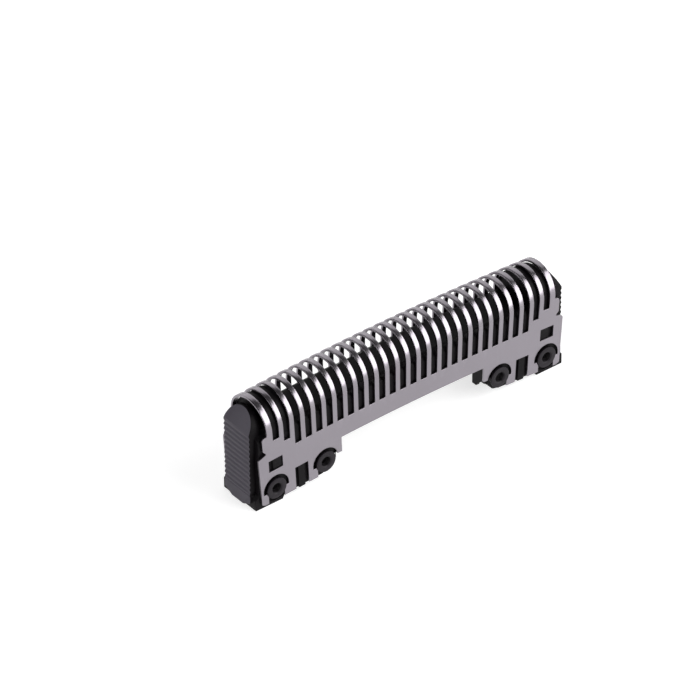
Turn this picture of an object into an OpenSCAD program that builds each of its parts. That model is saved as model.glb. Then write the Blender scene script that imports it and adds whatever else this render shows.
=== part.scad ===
// Inner blade of a foil shaver: an arch of slotted sheet steel staked onto a moulded base.
// Millimetres. X runs along the blade, Y across it and Z up. The feet stand on z = 0.
// Both pieces follow a shallow bow along X. A place on the bow is given by its arc length s
// from the middle, measured at the foot of the slots, and its height h above that line.

/* [Blade] */
// Overall length over the two grip pads
blade_len = 40.9; // [34:0.1:60]
// Radius of the lengthwise bow at the foot of the slots
bow_r = 287; // [220:1:600]
// Height of the foot of the slots above the feet, at the middle
line_z = 6.82; // [6.6:0.01:8]

/* [Bent sheet] */
// Width over the two walls
sheet_w = 5.9; // [4.9:0.1:7.5]
// Thickness of the sheet
sheet_t = 0.25; // [0.15:0.01:0.35]
// Height of the flat wall above the foot of the slots, where the arch begins
wall_rise = 2.95; // [2.7:0.01:4]
// Depth of the plain strip below the foot of the slots
strip_drop = 2.22; // [2.1:0.01:2.5]
// Step from the grip pad's face in to the outer edge of a leg
pad_proud = 0.53; // [0.3:0.01:1]
// Step from the outer edge of a leg in to the end of the arch
arch_setback = 1.23; // [1.1:0.01:1.6]

/* [Cutting slots] */
// Distance from slot to slot along the bow
slot_pitch = 1.35; // [1:0.01:2]
// Width of a slot
slot_w = 0.81; // [0.4:0.01:0.9]
// Least plain band between the last slot and the end of the arch
end_band = 0.7; // [0.5:0.01:1.2]
// How much higher the last slot of each end stops
last_slot_rise = 1.83; // [0:0.01:2]
// How much higher the slot next to it stops
next_slot_rise = 1.06; // [0:0.01:2]

/* [Legs] */
// Length of a leg along the bow
leg_len = 10.49; // [10:0.01:12]
// Depth of a leg below the foot of the slots
leg_drop = 5.73; // [5.6:0.01:5.9]
// Radius of the outer lower corner of a leg
leg_corner_r = 0.5; // [0.1:0.05:0.6]
// How far the rounded ear beside the arch stands in from the outer edge of the leg
ear_setback = 0.62; // [0.5:0.01:0.8]
// Height of the window
window_h = 1.39; // [1:0.01:1.5]
// Length of the window
window_len = 1.77; // [1:0.01:2]
// Height of the window's lower edge, below the foot of the slots
window_drop = 1.91; // [1.8:0.01:2]
// Distance from the outer edge of the leg in to the window
window_in = 1.21; // [0.8:0.01:1.5]
// Width of the open slot in the lower edge of the leg
notch_len = 1.66; // [1.2:0.01:1.8]
// Height of its closed end below the foot of the slots
notch_drop = 3.01; // [2.9:0.01:3.5]
// Distance from the outer edge of the leg in to the open slot
notch_in = 4.44; // [4.3:0.01:4.6]
// Width of the steel finger beside the inner keyhole, at its tip
finger_len = 1.14; // [0.9:0.01:1.2]
// Depth of the short claw at the inner edge of the leg
claw_drop = 4.05; // [3.9:0.01:4.2]

/* [Keyholes and stakes] */
// Radius of the round part of each keyhole
key_r = 1.6; // [1.4:0.01:1.7]
// Distance from the outer edge of the leg in to the outer keyhole
outer_key_in = 1.97; // [1.9:0.01:2.1]
// Distance from the outer edge of the leg in to the inner keyhole
inner_key_in = 8.28; // [8.1:0.01:8.4]
// Depth of the keyholes below the foot of the slots
key_drop = 4.25; // [4.2:0.01:4.4]
// Depth of the ledge below a keyhole's centre, where it narrows to its channel
ledge_drop = 0.25; // [0:0.01:0.5]
// Half width of the channel below the outer keyhole
channel_half = 1.02; // [0.7:0.01:1.1]
// Gap between a staked head and its keyhole
stake_gap = 0.07; // [0.03:0.01:0.15]
// How far a staked head stands proud of the sheet
stake_proud = 0.12; // [0.05:0.01:0.2]
// How far the keys in the openings of a leg stay below the sheet's outer face
key_sink = 0.1; // [0.05:0.01:0.2]
// Length of the key in the window
window_key_len = 1.1; // [0.6:0.05:1.5]
// Length of the key in the open slot
notch_key_len = 0.8; // [0.4:0.05:1.4]
// Radius of the dimple in a staked head
dimple_r = 0.8; // [0.4:0.05:1]
// Depth of the dimple
dimple_deep = 0.22; // [0.05:0.01:0.3]

/* [Moulded base] */
// Gap between the base and the inside of the sheet
fit_gap = 0.05; // [0.03:0.01:0.1]
// Width of the drive channel along the underside
channel_w = 2; // [1.4:0.1:2.4]
// Thickness of the wall that closes the channel at each end, with its grip pad
end_wall = 2.85; // [2.2:0.05:3.5]
// Height of the beam's crown above the foot of the slots
beam_rise = 2.5; // [1.5:0.1:2.6]
// Depth of the beam's underside below the foot of the slots
beam_drop = 1.7; // [1:0.1:2]
// Height of the roof of the drive channel above the beam's underside
channel_rise = 2.4; // [1:0.1:3]
// Length of the plug under each end of the arch
plug_len = 2.7; // [2:0.1:3]
// Gap between the plug's crown and the arch
plug_gap = 0.1; // [0.05:0.01:0.2]
// Step from the end of the arch in to the face of the plug
plug_in = 0.35; // [0.1:0.05:0.6]
// Radius of the round on the edges of the beam's crown
crown_round = 0.8; // [0.3:0.1:1]
// Depth of the underside of each end block below the foot of the slots
block_drop = 5.86; // [5.75:0.01:6]
// Length of each foot
foot_len = 2.85; // [2.5:0.05:3.5]
// Height of the foot's outer edge
foot_rise = 1.2; // [0.8:0.1:1.6]
// Length of the sloped side of each foot
foot_slope = 0.55; // [0.3:0.05:0.8]
// Step from the grip pad's face in to the outer edge of the foot
foot_in = 0.3; // [0.2:0.05:0.5]

/* [Hooks] */
// Length of the hook's nose beside the claw
nose_len = 0.77; // [0.5:0.01:0.9]
// Depth of the nose below the foot of the slots
nose_drop = 5.2; // [4.9:0.01:5.4]
// How far the nose is cut away towards the sheet
nose_slope = 1; // [0.5:0.05:1.2]
// How far the nose stands out of the leg, into the gap between the legs
nose_proud = 0.08; // [0.02:0.01:0.15]
// Height of the undercut between the nose and the inner stake, below the foot of the slots
undercut_drop = 3.6; // [3.3:0.05:3.8]
// Width of the post below the inner stake
post_len = 0.85; // [0.6:0.05:1]
// Gap between the post and the steel finger
post_gap = 0.03; // [0.02:0.01:0.1]

/* [Grip pads] */
// Width of a grip pad
pad_w = 4.14; // [3.6:0.01:4.4]
// Height of a grip pad's upper edge above the feet
pad_top = 9.3; // [8.6:0.05:9.8]
// Height of a grip pad's lower edge above the feet
pad_foot = 0.15; // [0.05:0.05:0.5]
// Radius of a grip pad's upper corners
pad_corner_r = 0.7; // [0.3:0.05:1]
// Size of the cut across a grip pad's lower corners
pad_cut = 0.6; // [0.3:0.05:1]
// Distance between two grip ridges
ridge_pitch = 0.6; // [0.5:0.01:0.8]
// Number of grooves between the ridges
groove_count = 12; // [6:1:12]
// Radius of the round groove between two ridges
groove_r = 0.26; // [0.15:0.01:0.28]
// Depth of a groove
groove_deep = 0.16; // [0.05:0.01:0.2]
// Distance from a grip pad's upper edge down to the first groove
groove_start = 0.5; // [0.4:0.05:0.8]
// Width of the smooth tongue above the pad
tongue_w = 4; // [3.4:0.1:4.2]
// Height of the tongue's crown above the feet
tongue_top = 11.6; // [11.2:0.05:11.6]
// Step from the pad's face in to the tongue's face
tongue_in = 0.65; // [0.4:0.05:0.8]
// Radius of the tongue's upper corners
tongue_r = 1.9; // [1:0.1:1.9]
// Step from the pad's face in to the end wall's face around the pad
rim_in = 0.75; // [0.7:0.05:0.9]

/* [Hidden] */

over = 1;
bow_z = line_z - bow_r;
wall_y = sheet_w / 2;
arch_r = sheet_w / 2;
leg_out = blade_len / 2 - pad_proud;
arch_half = leg_out - arch_setback;
leg_mid = leg_out - leg_len / 2;
steps = floor((arch_half - end_band - slot_w / 2) / slot_pitch);
block_w = sheet_w - 2 * sheet_t - 2 * fit_gap;
stake_r = key_r - stake_gap;
outer_key = leg_out - outer_key_in;
inner_key = leg_out - inner_key_in;
finger_out = leg_out - notch_in - notch_len;
finger_in = finger_out - finger_len;
channel_end = blade_len / 2 - end_wall;

// Degrees that an arc length s takes up on the bow
function turn(s) = s / bow_r * 180 / PI;

// How much higher than the others the slot number i from the middle stops
function slot_rise(i) =
    abs(i) == steps ? last_slot_rise : abs(i) == steps - 1 ? next_slot_rise : 0;

// Sweeps a section, drawn with y across and h from the bow line, from s = from to s = to
module along_bow(from, to) {
    translate([0, 0, bow_z])
        rotate([0, turn(from), 0])
            rotate([0, -90, -90])
                rotate_extrude(angle = turn(to - from), $fn = 720)
                    translate([bow_r, 0])
                        children();
}

// Stands an outline drawn in s and h upright on the bow at s = mid, as a plate from y = 0 - w / 2
module plate(mid, w) {
    translate([0, 0, bow_z])
        rotate([0, turn(mid), 0])
            translate([-mid, 0, bow_r])
                rotate([90, 0, 0])
                    linear_extrude(w, center = true)
                        children();
}

// Repeats its children at both ends of the blade
module both_ends() {
    children();
    mirror([1, 0, 0]) children();
}

// Repeats its children on both walls
module both_walls() {
    children();
    mirror([0, 1, 0]) children();
}

// Section of the bent sheet: two straight walls and a half round arch
module sheet_section() {
    difference() {
        round_form(leg_drop, arch_r);
        round_form(leg_drop + over, arch_r - sheet_t);
    }
}

// A form of half width r under a round crown, from a depth below the bow line up
module round_form(depth, r) {
    translate([-depth, -r])
        square([depth + wall_rise, 2 * r]);
    translate([wall_rise, 0])
        circle(r, $fn = 96);
}

// What is cut off above a leg's shoulder: the arch ends there, beside its rounded ear
module shoulder_cut() {
    edge = leg_out;
    polygon([
        [edge + over, 0.02],
        [edge, 0.02],
        [edge - 0.12, 0.2],
        [edge - 0.97, 0.5],
        [edge - 0.92, 0.68],
        [edge - ear_setback, 1],
        [edge - ear_setback, 2.35],
        [edge - 0.78, 2.6],
        [edge - arch_setback, 2.68],
        [edge - arch_setback, wall_rise + sheet_w],
        [edge + over, wall_rise + sheet_w]
    ]);
}

// What rounds the outer lower corner of a leg
module corner_cut() {
    translate([leg_out - leg_corner_r, -leg_drop + leg_corner_r])
        difference() {
            translate([0, -leg_corner_r - over])
                square([leg_corner_r + over, leg_corner_r + over]);
            circle(leg_corner_r, $fn = 48);
        }
}

// Round part of a keyhole or of what fills it, inset all round and flat at the ledge. open_in = 1
// leaves out the ledge on the inner side.
module key_round(at, inset, open_in) {
    ledge_h = -key_drop - ledge_drop + inset;
    difference() {
        translate([at, -key_drop])
            circle(key_r - inset, $fn = 96);
        translate([open_in == 1 ? finger_in - inset : at - 2 * key_r, ledge_h - 2 * key_r])
            square([4 * key_r, 2 * key_r]);
    }
}

// Channel below the outer keyhole or what fills it, inset on both sides
module key_channel(inset, depth) {
    translate([outer_key - channel_half + inset, -depth])
        square([2 * (channel_half - inset), depth - key_drop]);
}

// Everything that is cut out of one leg
module leg_cuts() {
    translate([leg_out - window_in - window_len, -window_drop])
        square([window_len, window_h]);
    translate([finger_out, -leg_drop - over])
        square([notch_len, leg_drop + over - notch_drop]);
    key_round(outer_key, 0, 0);
    key_channel(0, leg_drop + over);
    key_round(inner_key, 0, 1);
    translate([leg_out - leg_len - over, -leg_drop - over])
        square([finger_in - leg_out + leg_len + over, leg_drop + over - key_drop]);
    translate([leg_out - leg_len - over, -key_drop - over])
        square([inner_key - leg_out + leg_len + over, key_drop + over - claw_drop]);
}

// The slotted arch with its four legs, etched and bent from one sheet
module cutter_sheet() {
    color("#b9b6b9")
        difference() {
            along_bow(-leg_out, leg_out) sheet_section();
            along_bow(leg_len - leg_out, leg_out - leg_len)
                translate([-leg_drop - over, -sheet_w])
                    square([leg_drop + over - strip_drop, 2 * sheet_w]);
            for (i = [-steps : steps])
                along_bow(i * slot_pitch - slot_w / 2, i * slot_pitch + slot_w / 2)
                    translate([slot_rise(i), -sheet_w])
                        square([wall_rise + sheet_w, 2 * sheet_w]);
            both_ends() {
                plate(leg_mid, 2 * sheet_w) shoulder_cut();
                plate(leg_mid, 2 * sheet_w) corner_cut();
                plate(leg_mid, 2 * sheet_w) leg_cuts();
            }
        }
}

// What is cut away under one end block, from its nose to the slope of its foot, around the
// inner stake
module underside_cut() {
    nose_x = leg_out - leg_len - nose_proud;
    post_x = finger_in - post_gap - post_len;
    foot_x = blade_len / 2 - foot_in - foot_len;
    difference() {
        polygon([
            [nose_x - over, -line_z - over],
            [nose_x - over, -nose_drop],
            [nose_x + nose_len, -nose_drop],
            [nose_x + nose_len, -undercut_drop],
            [post_x, -undercut_drop],
            [post_x, -block_drop],
            [foot_x - foot_slope, -block_drop],
            [foot_x, -line_z],
            [foot_x, -line_z - over]
        ]);
        translate([inner_key, -key_drop])
            circle(stake_r, $fn = 96);
    }
}

// What is cut away beside the foot, up to the crown: the end wall stands in from the foot there
module rim_cut() {
    foot_x = blade_len / 2 - foot_in;
    rim_x = blade_len / 2 - rim_in;
    polygon([
        [foot_x + over, foot_rise],
        [foot_x, foot_rise],
        [rim_x, foot_rise + foot_x - rim_x],
        [rim_x, line_z + sheet_w],
        [foot_x + over, line_z + sheet_w]
    ]);
}

// Side outline of the base in x and z: two end blocks with feet, and the bowed beam between them
module side_outline() {
    foot_x = blade_len / 2 - foot_in;
    gap_half = leg_out - leg_len - nose_proud;
    difference() {
        intersection() {
            translate([-foot_x, 0])
                square([2 * foot_x, line_z + sheet_w]);
            translate([0, bow_z])
                circle(bow_r + beam_rise, $fn = 720);
        }
        intersection() {
            translate([-gap_half, -over])
                square([2 * gap_half, line_z + over]);
            translate([0, bow_z])
                circle(bow_r - beam_drop, $fn = 720);
        }
        for (side = [0, 1])
            mirror([side, 0]) {
                translate([0, bow_z])
                    rotate(-turn(leg_mid))
                        translate([-leg_mid, bow_r])
                            underside_cut();
                rim_cut();
            }
    }
}

// The end blocks and the beam, with rounded edges along the beam's crown
module body() {
    difference() {
        rotate([90, 0, 0])
            linear_extrude(block_w, center = true)
                side_outline();
        for (side = [-1, 1])
            along_bow(-leg_out - over, leg_out + over)
                translate([beam_rise - crown_round, side * (block_w / 2 - crown_round)])
                    difference() {
                        translate([0, side < 0 ? -crown_round - over : 0])
                            square(crown_round + over);
                        circle(crown_round, $fn = 48);
                    }
    }
}

// The plug that backs the last slots of one end
module plug() {
    along_bow(arch_half - plug_in - plug_len, arch_half - plug_in)
        round_form(0, arch_r - sheet_t - plug_gap);
}

// Stands an outline up to y = reach on the near wall's side, rooted in the base
module out_of_side(reach) {
    root_y = block_w / 2 - over;
    translate([0, -(reach + root_y) / 2, 0])
        plate(leg_mid, reach - root_y)
            children();
}

// The two staked heads of one leg, dimpled by the staking tool, on the near wall's side
module stakes() {
    difference() {
        out_of_side(wall_y + stake_proud) {
            key_round(outer_key, stake_gap, 0);
            key_round(inner_key, stake_gap, 1);
        }
        translate([0, -wall_y - stake_proud, 0])
            plate(leg_mid, 2 * dimple_deep)
                for (at = [outer_key, inner_key])
                    translate([at, -key_drop])
                        circle(dimple_r, $fn = 48);
    }
}

// The keys that stand in the window, in the open slot and in the outer keyhole's channel
module keys() {
    out_of_side(wall_y - key_sink) {
        translate([leg_out - window_in - window_len + stake_gap, -window_drop + stake_gap])
            square([window_key_len, window_h - 2 * stake_gap]);
        translate([finger_out + (notch_len - notch_key_len) / 2, -block_drop])
            square([notch_key_len, block_drop - notch_drop - stake_gap]);
        key_channel(stake_gap, block_drop);
    }
}

// Outline of a grip pad, drawn in y and z
module pad_outline() {
    half = pad_w / 2;
    difference() {
        translate([-half, pad_foot])
            square([pad_w, pad_top - pad_foot]);
        for (side = [0, 1])
            mirror([side, 0]) {
                translate([half - pad_corner_r, pad_top - pad_corner_r])
                    difference() {
                        square(pad_corner_r + over);
                        circle(pad_corner_r, $fn = 48);
                    }
                polygon([
                    [half - 2 * pad_cut, pad_foot - 0.01],
                    [half + 0.01, pad_foot + pad_cut],
                    [half + 0.01, pad_foot - 0.01]
                ]);
            }
    }
}

// Outline of the smooth tongue above the pad
module tongue_outline() {
    half = tongue_w / 2;
    difference() {
        translate([-half, pad_top / 2])
            square([tongue_w, tongue_top - pad_top / 2]);
        for (side = [0, 1])
            mirror([side, 0])
                translate([half - tongue_r, tongue_top - tongue_r])
                    difference() {
                        square(tongue_r + over);
                        circle(tongue_r, $fn = 64);
                    }
    }
}

// Stands an outline drawn in y and z upright across the blade, from x = from to x = to
module across(from, to) {
    translate([from, 0, 0])
        rotate([90, 0, 90])
            linear_extrude(to - from)
                children();
}

// The ridged grip pad on one end of the base
module grip_pad() {
    face = blade_len / 2;
    difference() {
        across(channel_end, face) pad_outline();
        for (i = [0 : groove_count - 1])
            translate([face + groove_r - groove_deep, 0, pad_top - groove_start - i * ridge_pitch])
                rotate([90, 0, 0])
                    cylinder(pad_w + over, r = groove_r, center = true, $fn = 24);
    }
}

// The moulding that carries the sheet: beam, end blocks, stakes, hooks, feet and grips
module moulded_base() {
    color("#242226")
        difference() {
            union() {
                body();
                for (side = [0, 1])
                    mirror([side, 0, 0]) {
                        plug();
                        across(channel_end, blade_len / 2 - tongue_in) tongue_outline();
                        grip_pad();
                    }
                both_ends()
                    both_walls() {
                        stakes();
                        keys();
                    }
            }
            translate([-channel_end, -channel_w / 2, -over])
                cube([2 * channel_end, channel_w, line_z - beam_drop + channel_rise + over]);
            both_ends()
                both_walls()
                    translate([leg_out - leg_len, -block_w / 2, line_z - nose_drop])
                        nose_cut();
        }
}

// The slope that takes the nose's lower edge away towards the sheet
module nose_cut() {
    rotate([90, 0, 90])
        linear_extrude(2 * nose_len + 1, center = true)
            polygon([
                [-over, -over],
                [nose_slope, -over],
                [nose_slope, 0],
                [0, nose_slope],
                [-over, nose_slope]
            ]);
}

cutter_sheet();
moulded_base();
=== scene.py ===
import math

import bmesh
import bpy
from mathutils import Matrix, Vector


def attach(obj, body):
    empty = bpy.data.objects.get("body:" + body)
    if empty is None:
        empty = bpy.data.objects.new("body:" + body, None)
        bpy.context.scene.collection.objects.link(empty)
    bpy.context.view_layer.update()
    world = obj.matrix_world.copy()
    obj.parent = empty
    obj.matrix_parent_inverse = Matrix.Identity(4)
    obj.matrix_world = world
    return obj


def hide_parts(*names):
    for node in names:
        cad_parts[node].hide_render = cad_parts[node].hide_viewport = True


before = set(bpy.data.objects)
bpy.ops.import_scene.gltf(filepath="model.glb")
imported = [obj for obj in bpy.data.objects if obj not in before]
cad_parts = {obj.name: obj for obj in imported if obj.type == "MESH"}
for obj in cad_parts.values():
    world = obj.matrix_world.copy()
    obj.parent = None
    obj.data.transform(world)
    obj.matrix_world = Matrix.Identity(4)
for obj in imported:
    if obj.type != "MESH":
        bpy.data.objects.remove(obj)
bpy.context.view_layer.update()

MM = 0.001
MERGE = 0.0005
ON_PLANE = 1e-7
FACING = 0.9

# The blade's driving dimensions, in millimetres
BLADE_LEN = 40.9
BOW_R = 287
LINE_Z = 6.82
WALL_RISE = 2.95
SHEET_W = 5.9
LEG_OUT = BLADE_LEN / 2 - 0.53
LEG_LEN = 10.49
KEY_DROP = 4.25
OUTER_KEY = LEG_OUT - 1.97
INNER_KEY = LEG_OUT - 8.28
STAKE_R = 1.53
STAKE_PROUD = 0.12

# Staked heads: the plastic is upset to a low mushroom with a dimple, in a round pocket
HEAD_R = 1.2
HEAD_SEAT = 0.02
HEAD_EDGE = 0.03
STEM_R = 0.95
STEM_LEN = 0.6
DIMPLE_R = 0.55
DIMPLE_LIP = 0.12
DIMPLE_DEEP = 0.45
POCKET_R = STAKE_R + 0.01
POCKET_FLOOR = 2.62

# Grips: a ridged pad whose smooth top leans in under the arch
PAD_W = 4.14
PAD_TOP = 9.3
GRIP_FOOT = 1.7
GRIP_DEPTH = 1.55
GRAIN_AND_LIGHT_TILT = 0.45
TONGUE_TOP = 11.3
TONGUE_LEAN = 1.05
TONGUE_SIDES = 64
RIDGE_PITCH = 0.6
GROOVE_START = 0.5
GROOVE_COUNT = 12
GROOVE_R = 0.24
GROOVE_DEEP = 0.1

# Where the moulding's own grips are cut back: its end wall, and the space behind each tongue
RIM_X = BLADE_LEN / 2 - 0.75
TONGUE_SPACE_X = 18.4
TONGUE_SPACE_Z = PAD_TOP + 0.05
CLEAR = 2

# Softened edges, in millimetres, and the angles in degrees that count as sharp
STEEL_EDGE = 0.02
PLASTIC_EDGE = 0.045
SHARP = 40
SMOOTH = 35

# The camera stands where the photograph was taken from. Angles in degrees, lengths in
# millimetres, and the focal length in pixels of a 700 pixel wide picture.
CAMERA_AZIMUTH = -38.301
CAMERA_ELEVATION = 36.069
CAMERA_ROLL = -0.383
CAMERA_DISTANCE = 530.31
CAMERA_TARGET = (-4.584, 1.639, 10.535)
FOCAL_PIXELS = 5236.1
PICTURE_PIXELS = 700
SENSOR_WIDTH = 36


def linear(hex_colour):
    """An sRGB hex colour as linear red, green, blue and alpha."""
    out = []
    for start in (1, 3, 5):
        c = int(hex_colour[start:start + 2], 16) / 255
        out.append(c / 12.92 if c <= 0.04045 else ((c + 0.055) / 1.055) ** 2.4)
    return (*out, 1.0)


def add(tree, kind, inputs=None, **settings):
    """Adds a node with its settings. An input is a value, or a socket to link from."""
    node = tree.nodes.new(kind)
    for name, value in settings.items():
        setattr(node, name, value)
    for name, value in (inputs or {}).items():
        if isinstance(value, bpy.types.NodeSocket):
            tree.links.new(value, node.inputs[name])
        else:
            node.inputs[name].default_value = value
    return node


def new_material(name):
    """An empty node material and its tree."""
    material = bpy.data.materials.new(name)
    material.use_nodes = True
    material.node_tree.nodes.clear()
    return material, material.node_tree


def dress(piece, material):
    """Gives a whole piece one material."""
    piece.data.materials.clear()
    piece.data.materials.append(material)


def smooth_steps(tree, value, low, high, low_out=0.0, high_out=1.0):
    """A soft step: low_out below low, high_out above high."""
    return add(tree, "ShaderNodeMapRange", {"Value": value, "From Min": low, "From Max": high,
                                            "To Min": low_out, "To Max": high_out},
               interpolation_type="SMOOTHSTEP").outputs["Result"]


def etched_stainless():
    """Hardened stainless sheet, photo-etched and bent. The etched flats are satin, and the outside
    of the ribs is ground and polished by the foil it runs under."""
    material, tree = new_material("etched_stainless_sheet")
    place = add(tree, "ShaderNodeTexCoord").outputs["Object"]
    height = add(tree, "ShaderNodeSeparateXYZ", {"Vector": place}).outputs["Z"]
    grain = add(tree, "ShaderNodeTexNoise", {"Vector": place, "Scale": 1 / (0.2 * MM), "Detail": 3.0})
    cloud = add(tree, "ShaderNodeTexNoise", {"Vector": place, "Scale": 1 / (6 * MM), "Detail": 2.0})
    polish = smooth_steps(tree, height, (LINE_Z + WALL_RISE - 0.7) * MM, (LINE_Z + WALL_RISE + 0.7) * MM)
    satin = add(tree, "ShaderNodeMapRange", {"Value": grain.outputs["Fac"], "To Min": 0.27, "To Max": 0.33})
    rough = add(tree, "ShaderNodeMix", {"Factor": polish, "A": satin.outputs["Result"], "B": 0.26})
    tone = add(tree, "ShaderNodeMix", {"Factor": cloud.outputs["Fac"], "A": linear("#8c878d"),
                                       "B": linear("#948f96")}, data_type="RGBA")
    shader = add(tree, "ShaderNodeBsdfPrincipled", {
        "Base Color": tone.outputs["Result"],
        "Metallic": 1.0,
        "Roughness": rough.outputs["Result"],
    })
    add(tree, "ShaderNodeOutputMaterial", {"Surface": shader.outputs["BSDF"]})
    return material


def moulded_black(name, colour, roughness, grain_mm, grain_depth_mm, level):
    """Black acetal as it comes from the mould: deep black where the tool was polished, matt where it was
    grained for grip.
    A copy given a lighter colour is painted light: the grip's greyer copy is partly its grain and partly
    painted light from the left, and the staked heads' lighter copy is painted light on their rims."""
    material, tree = new_material(name)
    place = add(tree, "ShaderNodeTexCoord").outputs["Object"]
    grain = add(tree, "ShaderNodeTexNoise", {"Vector": place, "Scale": 1 / (grain_mm * MM), "Detail": 4.0})
    bump = add(tree, "ShaderNodeBump", {"Height": grain.outputs["Fac"], "Distance": grain_depth_mm * MM,
                                        "Strength": 0.6})
    dark = tuple(0.8 * c for c in linear(colour)[:3]) + (1.0,)
    tone = add(tree, "ShaderNodeMix", {"Factor": grain.outputs["Fac"], "A": dark, "B": linear(colour)},
               data_type="RGBA")
    shader = add(tree, "ShaderNodeBsdfPrincipled", {
        "Base Color": tone.outputs["Result"],
        "Roughness": roughness,
        "IOR": 1.48,
        "Specular IOR Level": level,
        "Normal": bump.outputs["Normal"],
    })
    add(tree, "ShaderNodeOutputMaterial", {"Surface": shader.outputs["BSDF"]})
    return material


def pale_floor():
    """A matt white table. The eye and polished metal see it as white paper in full light."""
    material, tree = new_material("white_table")
    path = add(tree, "ShaderNodeLightPath")
    seen = add(tree, "ShaderNodeMath", {0: path.outputs["Is Camera Ray"], 1: path.outputs["Is Glossy Ray"]},
               operation="MAXIMUM")
    seen = add(tree, "ShaderNodeMath", {0: seen.outputs[0], 1: path.outputs["Is Transmission Ray"]},
               operation="MAXIMUM")
    paper = add(tree, "ShaderNodeBsdfDiffuse", {"Color": linear("#c8c8c8")})
    glow = add(tree, "ShaderNodeEmission", {"Color": linear("#ffffff"), "Strength": 0.7})
    lit = add(tree, "ShaderNodeAddShader")
    tree.links.new(paper.outputs[0], lit.inputs[0])
    tree.links.new(glow.outputs[0], lit.inputs[1])
    mix = add(tree, "ShaderNodeMixShader", {"Fac": seen.outputs[0]})
    tree.links.new(paper.outputs[0], mix.inputs[1])
    tree.links.new(lit.outputs[0], mix.inputs[2])
    add(tree, "ShaderNodeOutputMaterial", {"Surface": mix.outputs[0]})
    return material


def make_camera():
    """A long lens at the photograph's viewing angle."""
    turn = (Matrix.Rotation(math.radians(CAMERA_AZIMUTH), 3, "Z")
            @ Matrix.Rotation(math.radians(90 - CAMERA_ELEVATION), 3, "X")
            @ Matrix.Rotation(math.radians(CAMERA_ROLL), 3, "Z"))
    lens = bpy.data.cameras.new("photo_view")
    lens.sensor_width = SENSOR_WIDTH
    lens.lens = SENSOR_WIDTH * FOCAL_PIXELS / PICTURE_PIXELS
    lens.clip_start = 0.01
    lens.clip_end = 20
    camera = bpy.data.objects.new("photo_view", lens)
    camera.location = (Vector(CAMERA_TARGET) + turn @ Vector((0, 0, CAMERA_DISTANCE))) * MM
    camera.rotation_euler = turn.to_euler()
    bpy.context.scene.collection.objects.link(camera)
    bpy.context.scene.camera = camera


def make_floor():
    """The table the blade stands on."""
    bpy.ops.object.select_all(action="DESELECT")
    bpy.ops.mesh.primitive_circle_add(vertices=64, radius=4, fill_type="NGON", location=(0, 0, 0))
    floor = bpy.context.object
    floor.name = "table"
    dress(floor, pale_floor())


def softbox(name, direction, distance, width, height, strength):
    """A rectangular soft light that faces the blade. Its direction is azimuth and elevation."""
    azimuth, elevation = (math.radians(a) for a in direction)
    away = Vector((math.sin(azimuth) * math.cos(elevation), -math.cos(azimuth) * math.cos(elevation),
                   math.sin(elevation)))
    data = bpy.data.lights.new(name, "AREA")
    data.shape = "RECTANGLE"
    data.size = width
    data.size_y = height
    # Watts for the wanted brightness of the panel, where 1 is white
    data.energy = strength * math.pi * width * height
    light = bpy.data.objects.new(name, data)
    light.location = away * distance
    light.rotation_euler = away.to_track_quat("Z", "Y").to_euler()
    bpy.context.scene.collection.objects.link(light)


def make_light():
    """A tall softbox in front that draws the long streaks on the ribs, a panel behind, a low one
    at the left for the grip, and a room that is pale at the horizon and dark above."""
    softbox("front_softbox", (42, 22), 1.2, 1.3, 1.4, 4.2)
    softbox("back_panel", (142, 32), 1.2, 1.6, 1.1, 1.0)
    softbox("left_softbox", (-75, 30), 1.2, 0.8, 0.8, 3.0)
    world = bpy.data.worlds.new("studio")
    bpy.context.scene.world = world
    world.use_nodes = True
    tree = world.node_tree
    tree.nodes.clear()
    path = add(tree, "ShaderNodeLightPath")
    place = add(tree, "ShaderNodeTexCoord").outputs["Generated"]
    height = add(tree, "ShaderNodeSeparateXYZ", {"Vector": place}).outputs["Z"]
    room = add(tree, "ShaderNodeValToRGB", {"Fac": height})
    ramp = room.color_ramp
    ramp.elements[0].position = 0.02
    ramp.elements[0].color = (0.45, 0.45, 0.45, 1)
    ramp.elements[1].position = 0.6
    ramp.elements[1].color = (0.05, 0.05, 0.05, 1)
    dim = add(tree, "ShaderNodeBackground", {"Color": room.outputs["Color"], "Strength": 1.0})
    white = add(tree, "ShaderNodeBackground", {"Color": linear("#ffffff"), "Strength": 1.0})
    mix = add(tree, "ShaderNodeMixShader", {"Fac": path.outputs["Is Camera Ray"]})
    tree.links.new(dim.outputs[0], mix.inputs[1])
    tree.links.new(white.outputs[0], mix.inputs[2])
    add(tree, "ShaderNodeOutputWorld", {"Surface": mix.outputs[0]})


def pick_only(piece):
    """Selects one piece and nothing else, and makes it the active one."""
    bpy.ops.object.select_all(action="DESELECT")
    piece.select_set(True)
    bpy.context.view_layer.objects.active = piece


def settle(piece):
    """Puts a finished piece's place into its mesh, so that its object sits at the origin."""
    pick_only(piece)
    bpy.ops.object.transform_apply(location=True, rotation=True, scale=True)


def apply_modifier(piece, kind, **settings):
    """Adds a modifier to a piece with its settings and applies it."""
    pick_only(piece)
    modifier = piece.modifiers.new(kind.lower(), kind)
    for name, value in settings.items():
        setattr(modifier, name, value)
    bpy.ops.object.modifier_apply(modifier=modifier.name)


def soften(piece, width, segments=2):
    """Gives every sharp edge a fine round, as moulding, etching and handling leave it."""
    apply_modifier(piece, "BEVEL", width=width * MM, segments=segments, limit_method="ANGLE",
                   angle_limit=math.radians(SHARP), use_clamp_overlap=False, harden_normals=False)
    pick_only(piece)
    bpy.ops.object.shade_smooth_by_angle(angle=math.radians(SMOOTH))
    apply_modifier(piece, "WEIGHTED_NORMAL", weight=100, keep_sharp=True)


def cut(piece, tool):
    """Cuts a tool's form out of a piece and removes the tool."""
    apply_modifier(piece, "BOOLEAN", operation="DIFFERENCE", solver="EXACT", object=tool)
    bpy.data.objects.remove(tool)


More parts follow.
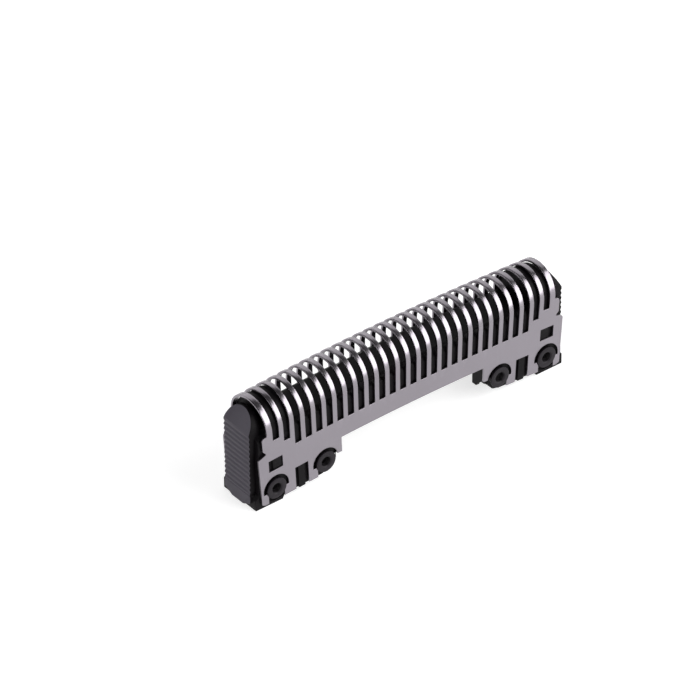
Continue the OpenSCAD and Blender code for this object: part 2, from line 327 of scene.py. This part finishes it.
def copy_of(piece, name):
    """A copy of a piece with its own mesh."""
    twin = bpy.data.objects.new(name, piece.data.copy())
    bpy.context.scene.collection.objects.link(twin)
    return twin


def mirrored(piece, name, axis):
    """A mirrored copy of a piece: axis 0 takes it to the other end, 1 to the other wall."""
    twin = copy_of(piece, name)
    twin.scale[axis] = -1
    settle(twin)
    pick_only(twin)
    bpy.ops.object.mode_set(mode="EDIT")
    bpy.ops.mesh.select_all(action="SELECT")
    bpy.ops.mesh.normals_make_consistent(inside=False)
    bpy.ops.object.mode_set(mode="OBJECT")
    return twin


def merged_copy(node, name):
    """A copy of a node's mesh with its doubled corners merged."""
    piece = copy_of(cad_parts[node], name)
    pick_only(piece)
    bpy.ops.object.mode_set(mode="EDIT")
    bpy.ops.mesh.select_all(action="SELECT")
    bpy.ops.mesh.remove_doubles(threshold=MERGE * MM)
    bpy.ops.object.mode_set(mode="OBJECT")
    return piece


def on_bow(s, h):
    """The place in x and z of a point on a leg, given in the source's s and h."""
    middle = LEG_OUT - LEG_LEN / 2
    turn = middle / BOW_R
    x = (BOW_R + h) * math.sin(turn) + (s - middle) * math.cos(turn)
    z = LINE_Z - BOW_R + (BOW_R + h) * math.cos(turn) - (s - middle) * math.sin(turn)
    return x, z


def drum(name, x, z, y_from, y_to, radius, vertices=48):
    """A drum across the blade, from one y to another."""
    bpy.ops.object.select_all(action="DESELECT")
    bpy.ops.mesh.primitive_cylinder_add(vertices=vertices, radius=radius * MM, depth=abs(y_to - y_from) * MM,
                                        location=(x * MM, (y_from + y_to) / 2 * MM, z * MM),
                                        rotation=(math.pi / 2, 0, 0))
    piece = bpy.context.object
    piece.name = name
    settle(piece)
    return piece


def block(name, x_from, x_to, width, z_from, z_to):
    """A block across the blade, between two places in x and two heights."""
    bpy.ops.object.select_all(action="DESELECT")
    bpy.ops.mesh.primitive_cube_add(
        size=1, location=((x_from + x_to) / 2 * MM, 0, (z_from + z_to) / 2 * MM),
        scale=(abs(x_to - x_from) * MM, width * MM, (z_to - z_from) * MM))
    piece = bpy.context.object
    piece.name = name
    settle(piece)
    return piece


def joined(pieces):
    """Joins pieces into the first one."""
    bpy.ops.object.select_all(action="DESELECT")
    for piece in pieces:
        piece.select_set(True)
    bpy.context.view_layer.objects.active = pieces[0]
    bpy.ops.object.join()
    return pieces[0]


def select_faces(piece, wanted):
    """In edit mode, selects the faces that a test picks and no others."""
    mesh = bmesh.from_edit_mesh(piece.data)
    for face in mesh.faces:
        face.select_set(wanted(face))
    bmesh.update_edit_mesh(piece.data)


def make_head(name, s):
    """A staked head on the near wall: a stem, a flared rim and a dimple from the staking tool."""
    x, z = on_bow(s, -KEY_DROP)
    wall = -SHEET_W / 2
    head = drum(name, x, z, wall + HEAD_SEAT, wall - STAKE_PROUD, HEAD_R)
    pick_only(head)
    bpy.ops.object.mode_set(mode="EDIT")
    bpy.ops.mesh.select_mode(type="FACE")
    select_faces(head, lambda face: face.normal.y < -FACING)
    bpy.ops.mesh.inset(thickness=(HEAD_R - DIMPLE_R - DIMPLE_LIP) * MM)
    bpy.ops.mesh.inset(thickness=DIMPLE_LIP * MM, depth=-DIMPLE_DEEP / 4 * MM)
    bpy.ops.mesh.inset(thickness=DIMPLE_LIP * MM, depth=-DIMPLE_DEEP * 3 / 4 * MM)
    select_faces(head, lambda face: face.normal.y > FACING)
    bpy.ops.mesh.inset(thickness=(HEAD_R - STEM_R) * MM)
    bpy.ops.mesh.extrude_region_move(TRANSFORM_OT_translate={"value": (0, STEM_LEN * MM, 0)})
    bpy.ops.object.mode_set(mode="OBJECT")
    soften(head, HEAD_EDGE)
    return head


def dress_head(head, rim, pit, x, z):
    """Gives a staked head its rim in a lighter black, which is painted light, and its dimple in the plain
    black, which reads as painted shade against the rim.
    """
    dress(head, rim)
    head.data.materials.append(pit)
    for face in head.data.polygons:
        # Dimple faces keep the plain black as painted shade; the rest take the lighter black as painted
        # light
        reach = math.hypot(face.center.x - x * MM, face.center.z - z * MM)
        face.material_index = 1 if reach < DIMPLE_R * MM else 0


def make_grip(name):
    """The grip at the right end: a ridged pad with a round, smooth top that leans in under the arch."""
    face = BLADE_LEN / 2
    round_z = TONGUE_TOP - PAD_W / 2
    bpy.ops.object.select_all(action="DESELECT")
    bpy.ops.mesh.primitive_cylinder_add(
        vertices=TONGUE_SIDES, radius=PAD_W / 2 * MM, depth=GRIP_DEPTH * MM,
        location=((face - GRIP_DEPTH / 2) * MM, 0, round_z * MM), rotation=(0, math.pi / 2, 0))
    grip = bpy.context.object
    grip.name = name
    settle(grip)
    bpy.ops.object.mode_set(mode="EDIT")
    bpy.ops.mesh.select_mode(type="FACE")
    bpy.ops.mesh.select_all(action="SELECT")
    bpy.ops.mesh.bisect(plane_co=(0, 0, round_z * MM), plane_no=(0, 0, -1), threshold=ON_PLANE,
                        clear_outer=True, use_fill=True)
    select_faces(grip, lambda face: face.calc_center_median().z < round_z * MM + ON_PLANE)
    bpy.ops.mesh.extrude_region_move(TRANSFORM_OT_translate={"value": (0, 0, (GRIP_FOOT - round_z) * MM)})
    bpy.ops.mesh.select_all(action="SELECT")
    lean = Vector((TONGUE_TOP - PAD_TOP, 0, TONGUE_LEAN)).normalized()
    bpy.ops.mesh.bisect(plane_co=(face * MM, 0, PAD_TOP * MM), plane_no=lean, threshold=ON_PLANE,
                        clear_outer=True, use_fill=True)
    bpy.ops.mesh.select_all(action="SELECT")
    bpy.ops.mesh.normals_make_consistent(inside=False)
    bpy.ops.object.mode_set(mode="OBJECT")
    grooves = [drum("groove", face + GROOVE_R - GROOVE_DEEP, PAD_TOP - GROOVE_START - i * RIDGE_PITCH,
                    -PAD_W, PAD_W, GROOVE_R, 24) for i in range(GROOVE_COUNT)]
    cut(grip, joined(grooves))
    soften(grip, PLASTIC_EDGE)
    return grip


def dress_end(piece, plain, grip_grain_and_painted_light, from_x):
    """Gives a piece its plain sides, and the grained finish on what faces out beyond a place in x. That
    finish is a lighter grey, partly for its grain and partly as painted light on the ends.
    """
    dress(piece, plain)
    piece.data.materials.append(grip_grain_and_painted_light)
    for face in piece.data.polygons:
        # Faces that face out along x take the lighter grip copy: partly the grip's grain, partly painted
        # light on the ends
        outward = abs(face.normal.x) > GRAIN_AND_LIGHT_TILT and abs(face.center.x) > from_x * MM
        face.material_index = 1 if outward else 0


def make_moulding():
    """The base with a pocket round each stake, and with its grips cut back for the finished ones."""
    base = merged_copy("moulded_base", "base_moulding")
    pockets = []
    for s in (OUTER_KEY, INNER_KEY):
        x, z = on_bow(s, -KEY_DROP)
        for end in (-1, 1):
            for wall in (-1, 1):
                pockets.append(drum("pocket", end * x, z, wall * POCKET_FLOOR, wall * SHEET_W, POCKET_R))
    cut(base, joined(pockets))
    beyond = BLADE_LEN / 2 + CLEAR
    for end in (-1, 1):
        for x_from, z_from in ((RIM_X, GRIP_FOOT), (TONGUE_SPACE_X, TONGUE_SPACE_Z)):
            cut(base, block("space", end * x_from, end * beyond, SHEET_W, z_from, TONGUE_TOP + CLEAR))
    soften(base, PLASTIC_EDGE)
    return base


def make_sheet():
    """The slotted sheet with the fine round that etching leaves on its edges."""
    sheet = merged_copy("cutter_sheet", "slotted_sheet")
    soften(sheet, STEEL_EDGE)
    return sheet


def hang(piece, node=None):
    """Hangs a finished piece on the part, and hides the node that it stands for, if one is given."""
    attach(piece, "root")
    if node:
        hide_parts(node)


bpy.context.scene.view_settings.view_transform = "Standard"
make_camera()
make_floor()
make_light()

steel = etched_stainless()
black = moulded_black("moulded_black_acetal", "#0c090c", 0.45, 0.15, 0.006, 0.1)
# A lighter copy of the black for the staked heads' rims: painted light
head_black_painted_light = moulded_black("head_acetal_painted_light", "#231f24", 0.5, 0.15, 0.004, 0.2)
# The grip copy is a lighter grey: partly the matt grain, partly painted light from the left
grip_grain_and_painted_light = moulded_black("grip_acetal_grain_and_painted_light", "#55515a", 0.6, 0.12, 0.015, 0.3)
dress(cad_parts["cutter_sheet"], steel)
dress(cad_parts["moulded_base"], black)

sheet = make_sheet()
dress(sheet, steel)
hang(sheet, "cutter_sheet")

base = make_moulding()
dress_end(base, black, grip_grain_and_painted_light, BLADE_LEN / 2 - GROOVE_DEEP)
hang(base, "moulded_base")

right_grip = make_grip("grip_right")
for grip in (right_grip, mirrored(right_grip, "grip_left", 0)):
    dress_end(grip, black, grip_grain_and_painted_light, BLADE_LEN / 2 - TONGUE_LEAN - GROOVE_DEEP)
    hang(grip)

for row, s in (("outer", OUTER_KEY), ("inner", INNER_KEY)):
    x, z = on_bow(s, -KEY_DROP)
    right = make_head(f"stake_{row}_near_right", s)
    left = mirrored(right, f"stake_{row}_near_left", 0)
    for end, head in ((1, right), (-1, left)):
        far = mirrored(head, head.name.replace("near", "far"), 1)
        for piece in (head, far):
            dress_head(piece, head_black_painted_light, black, end * x, z)
            hang(piece)
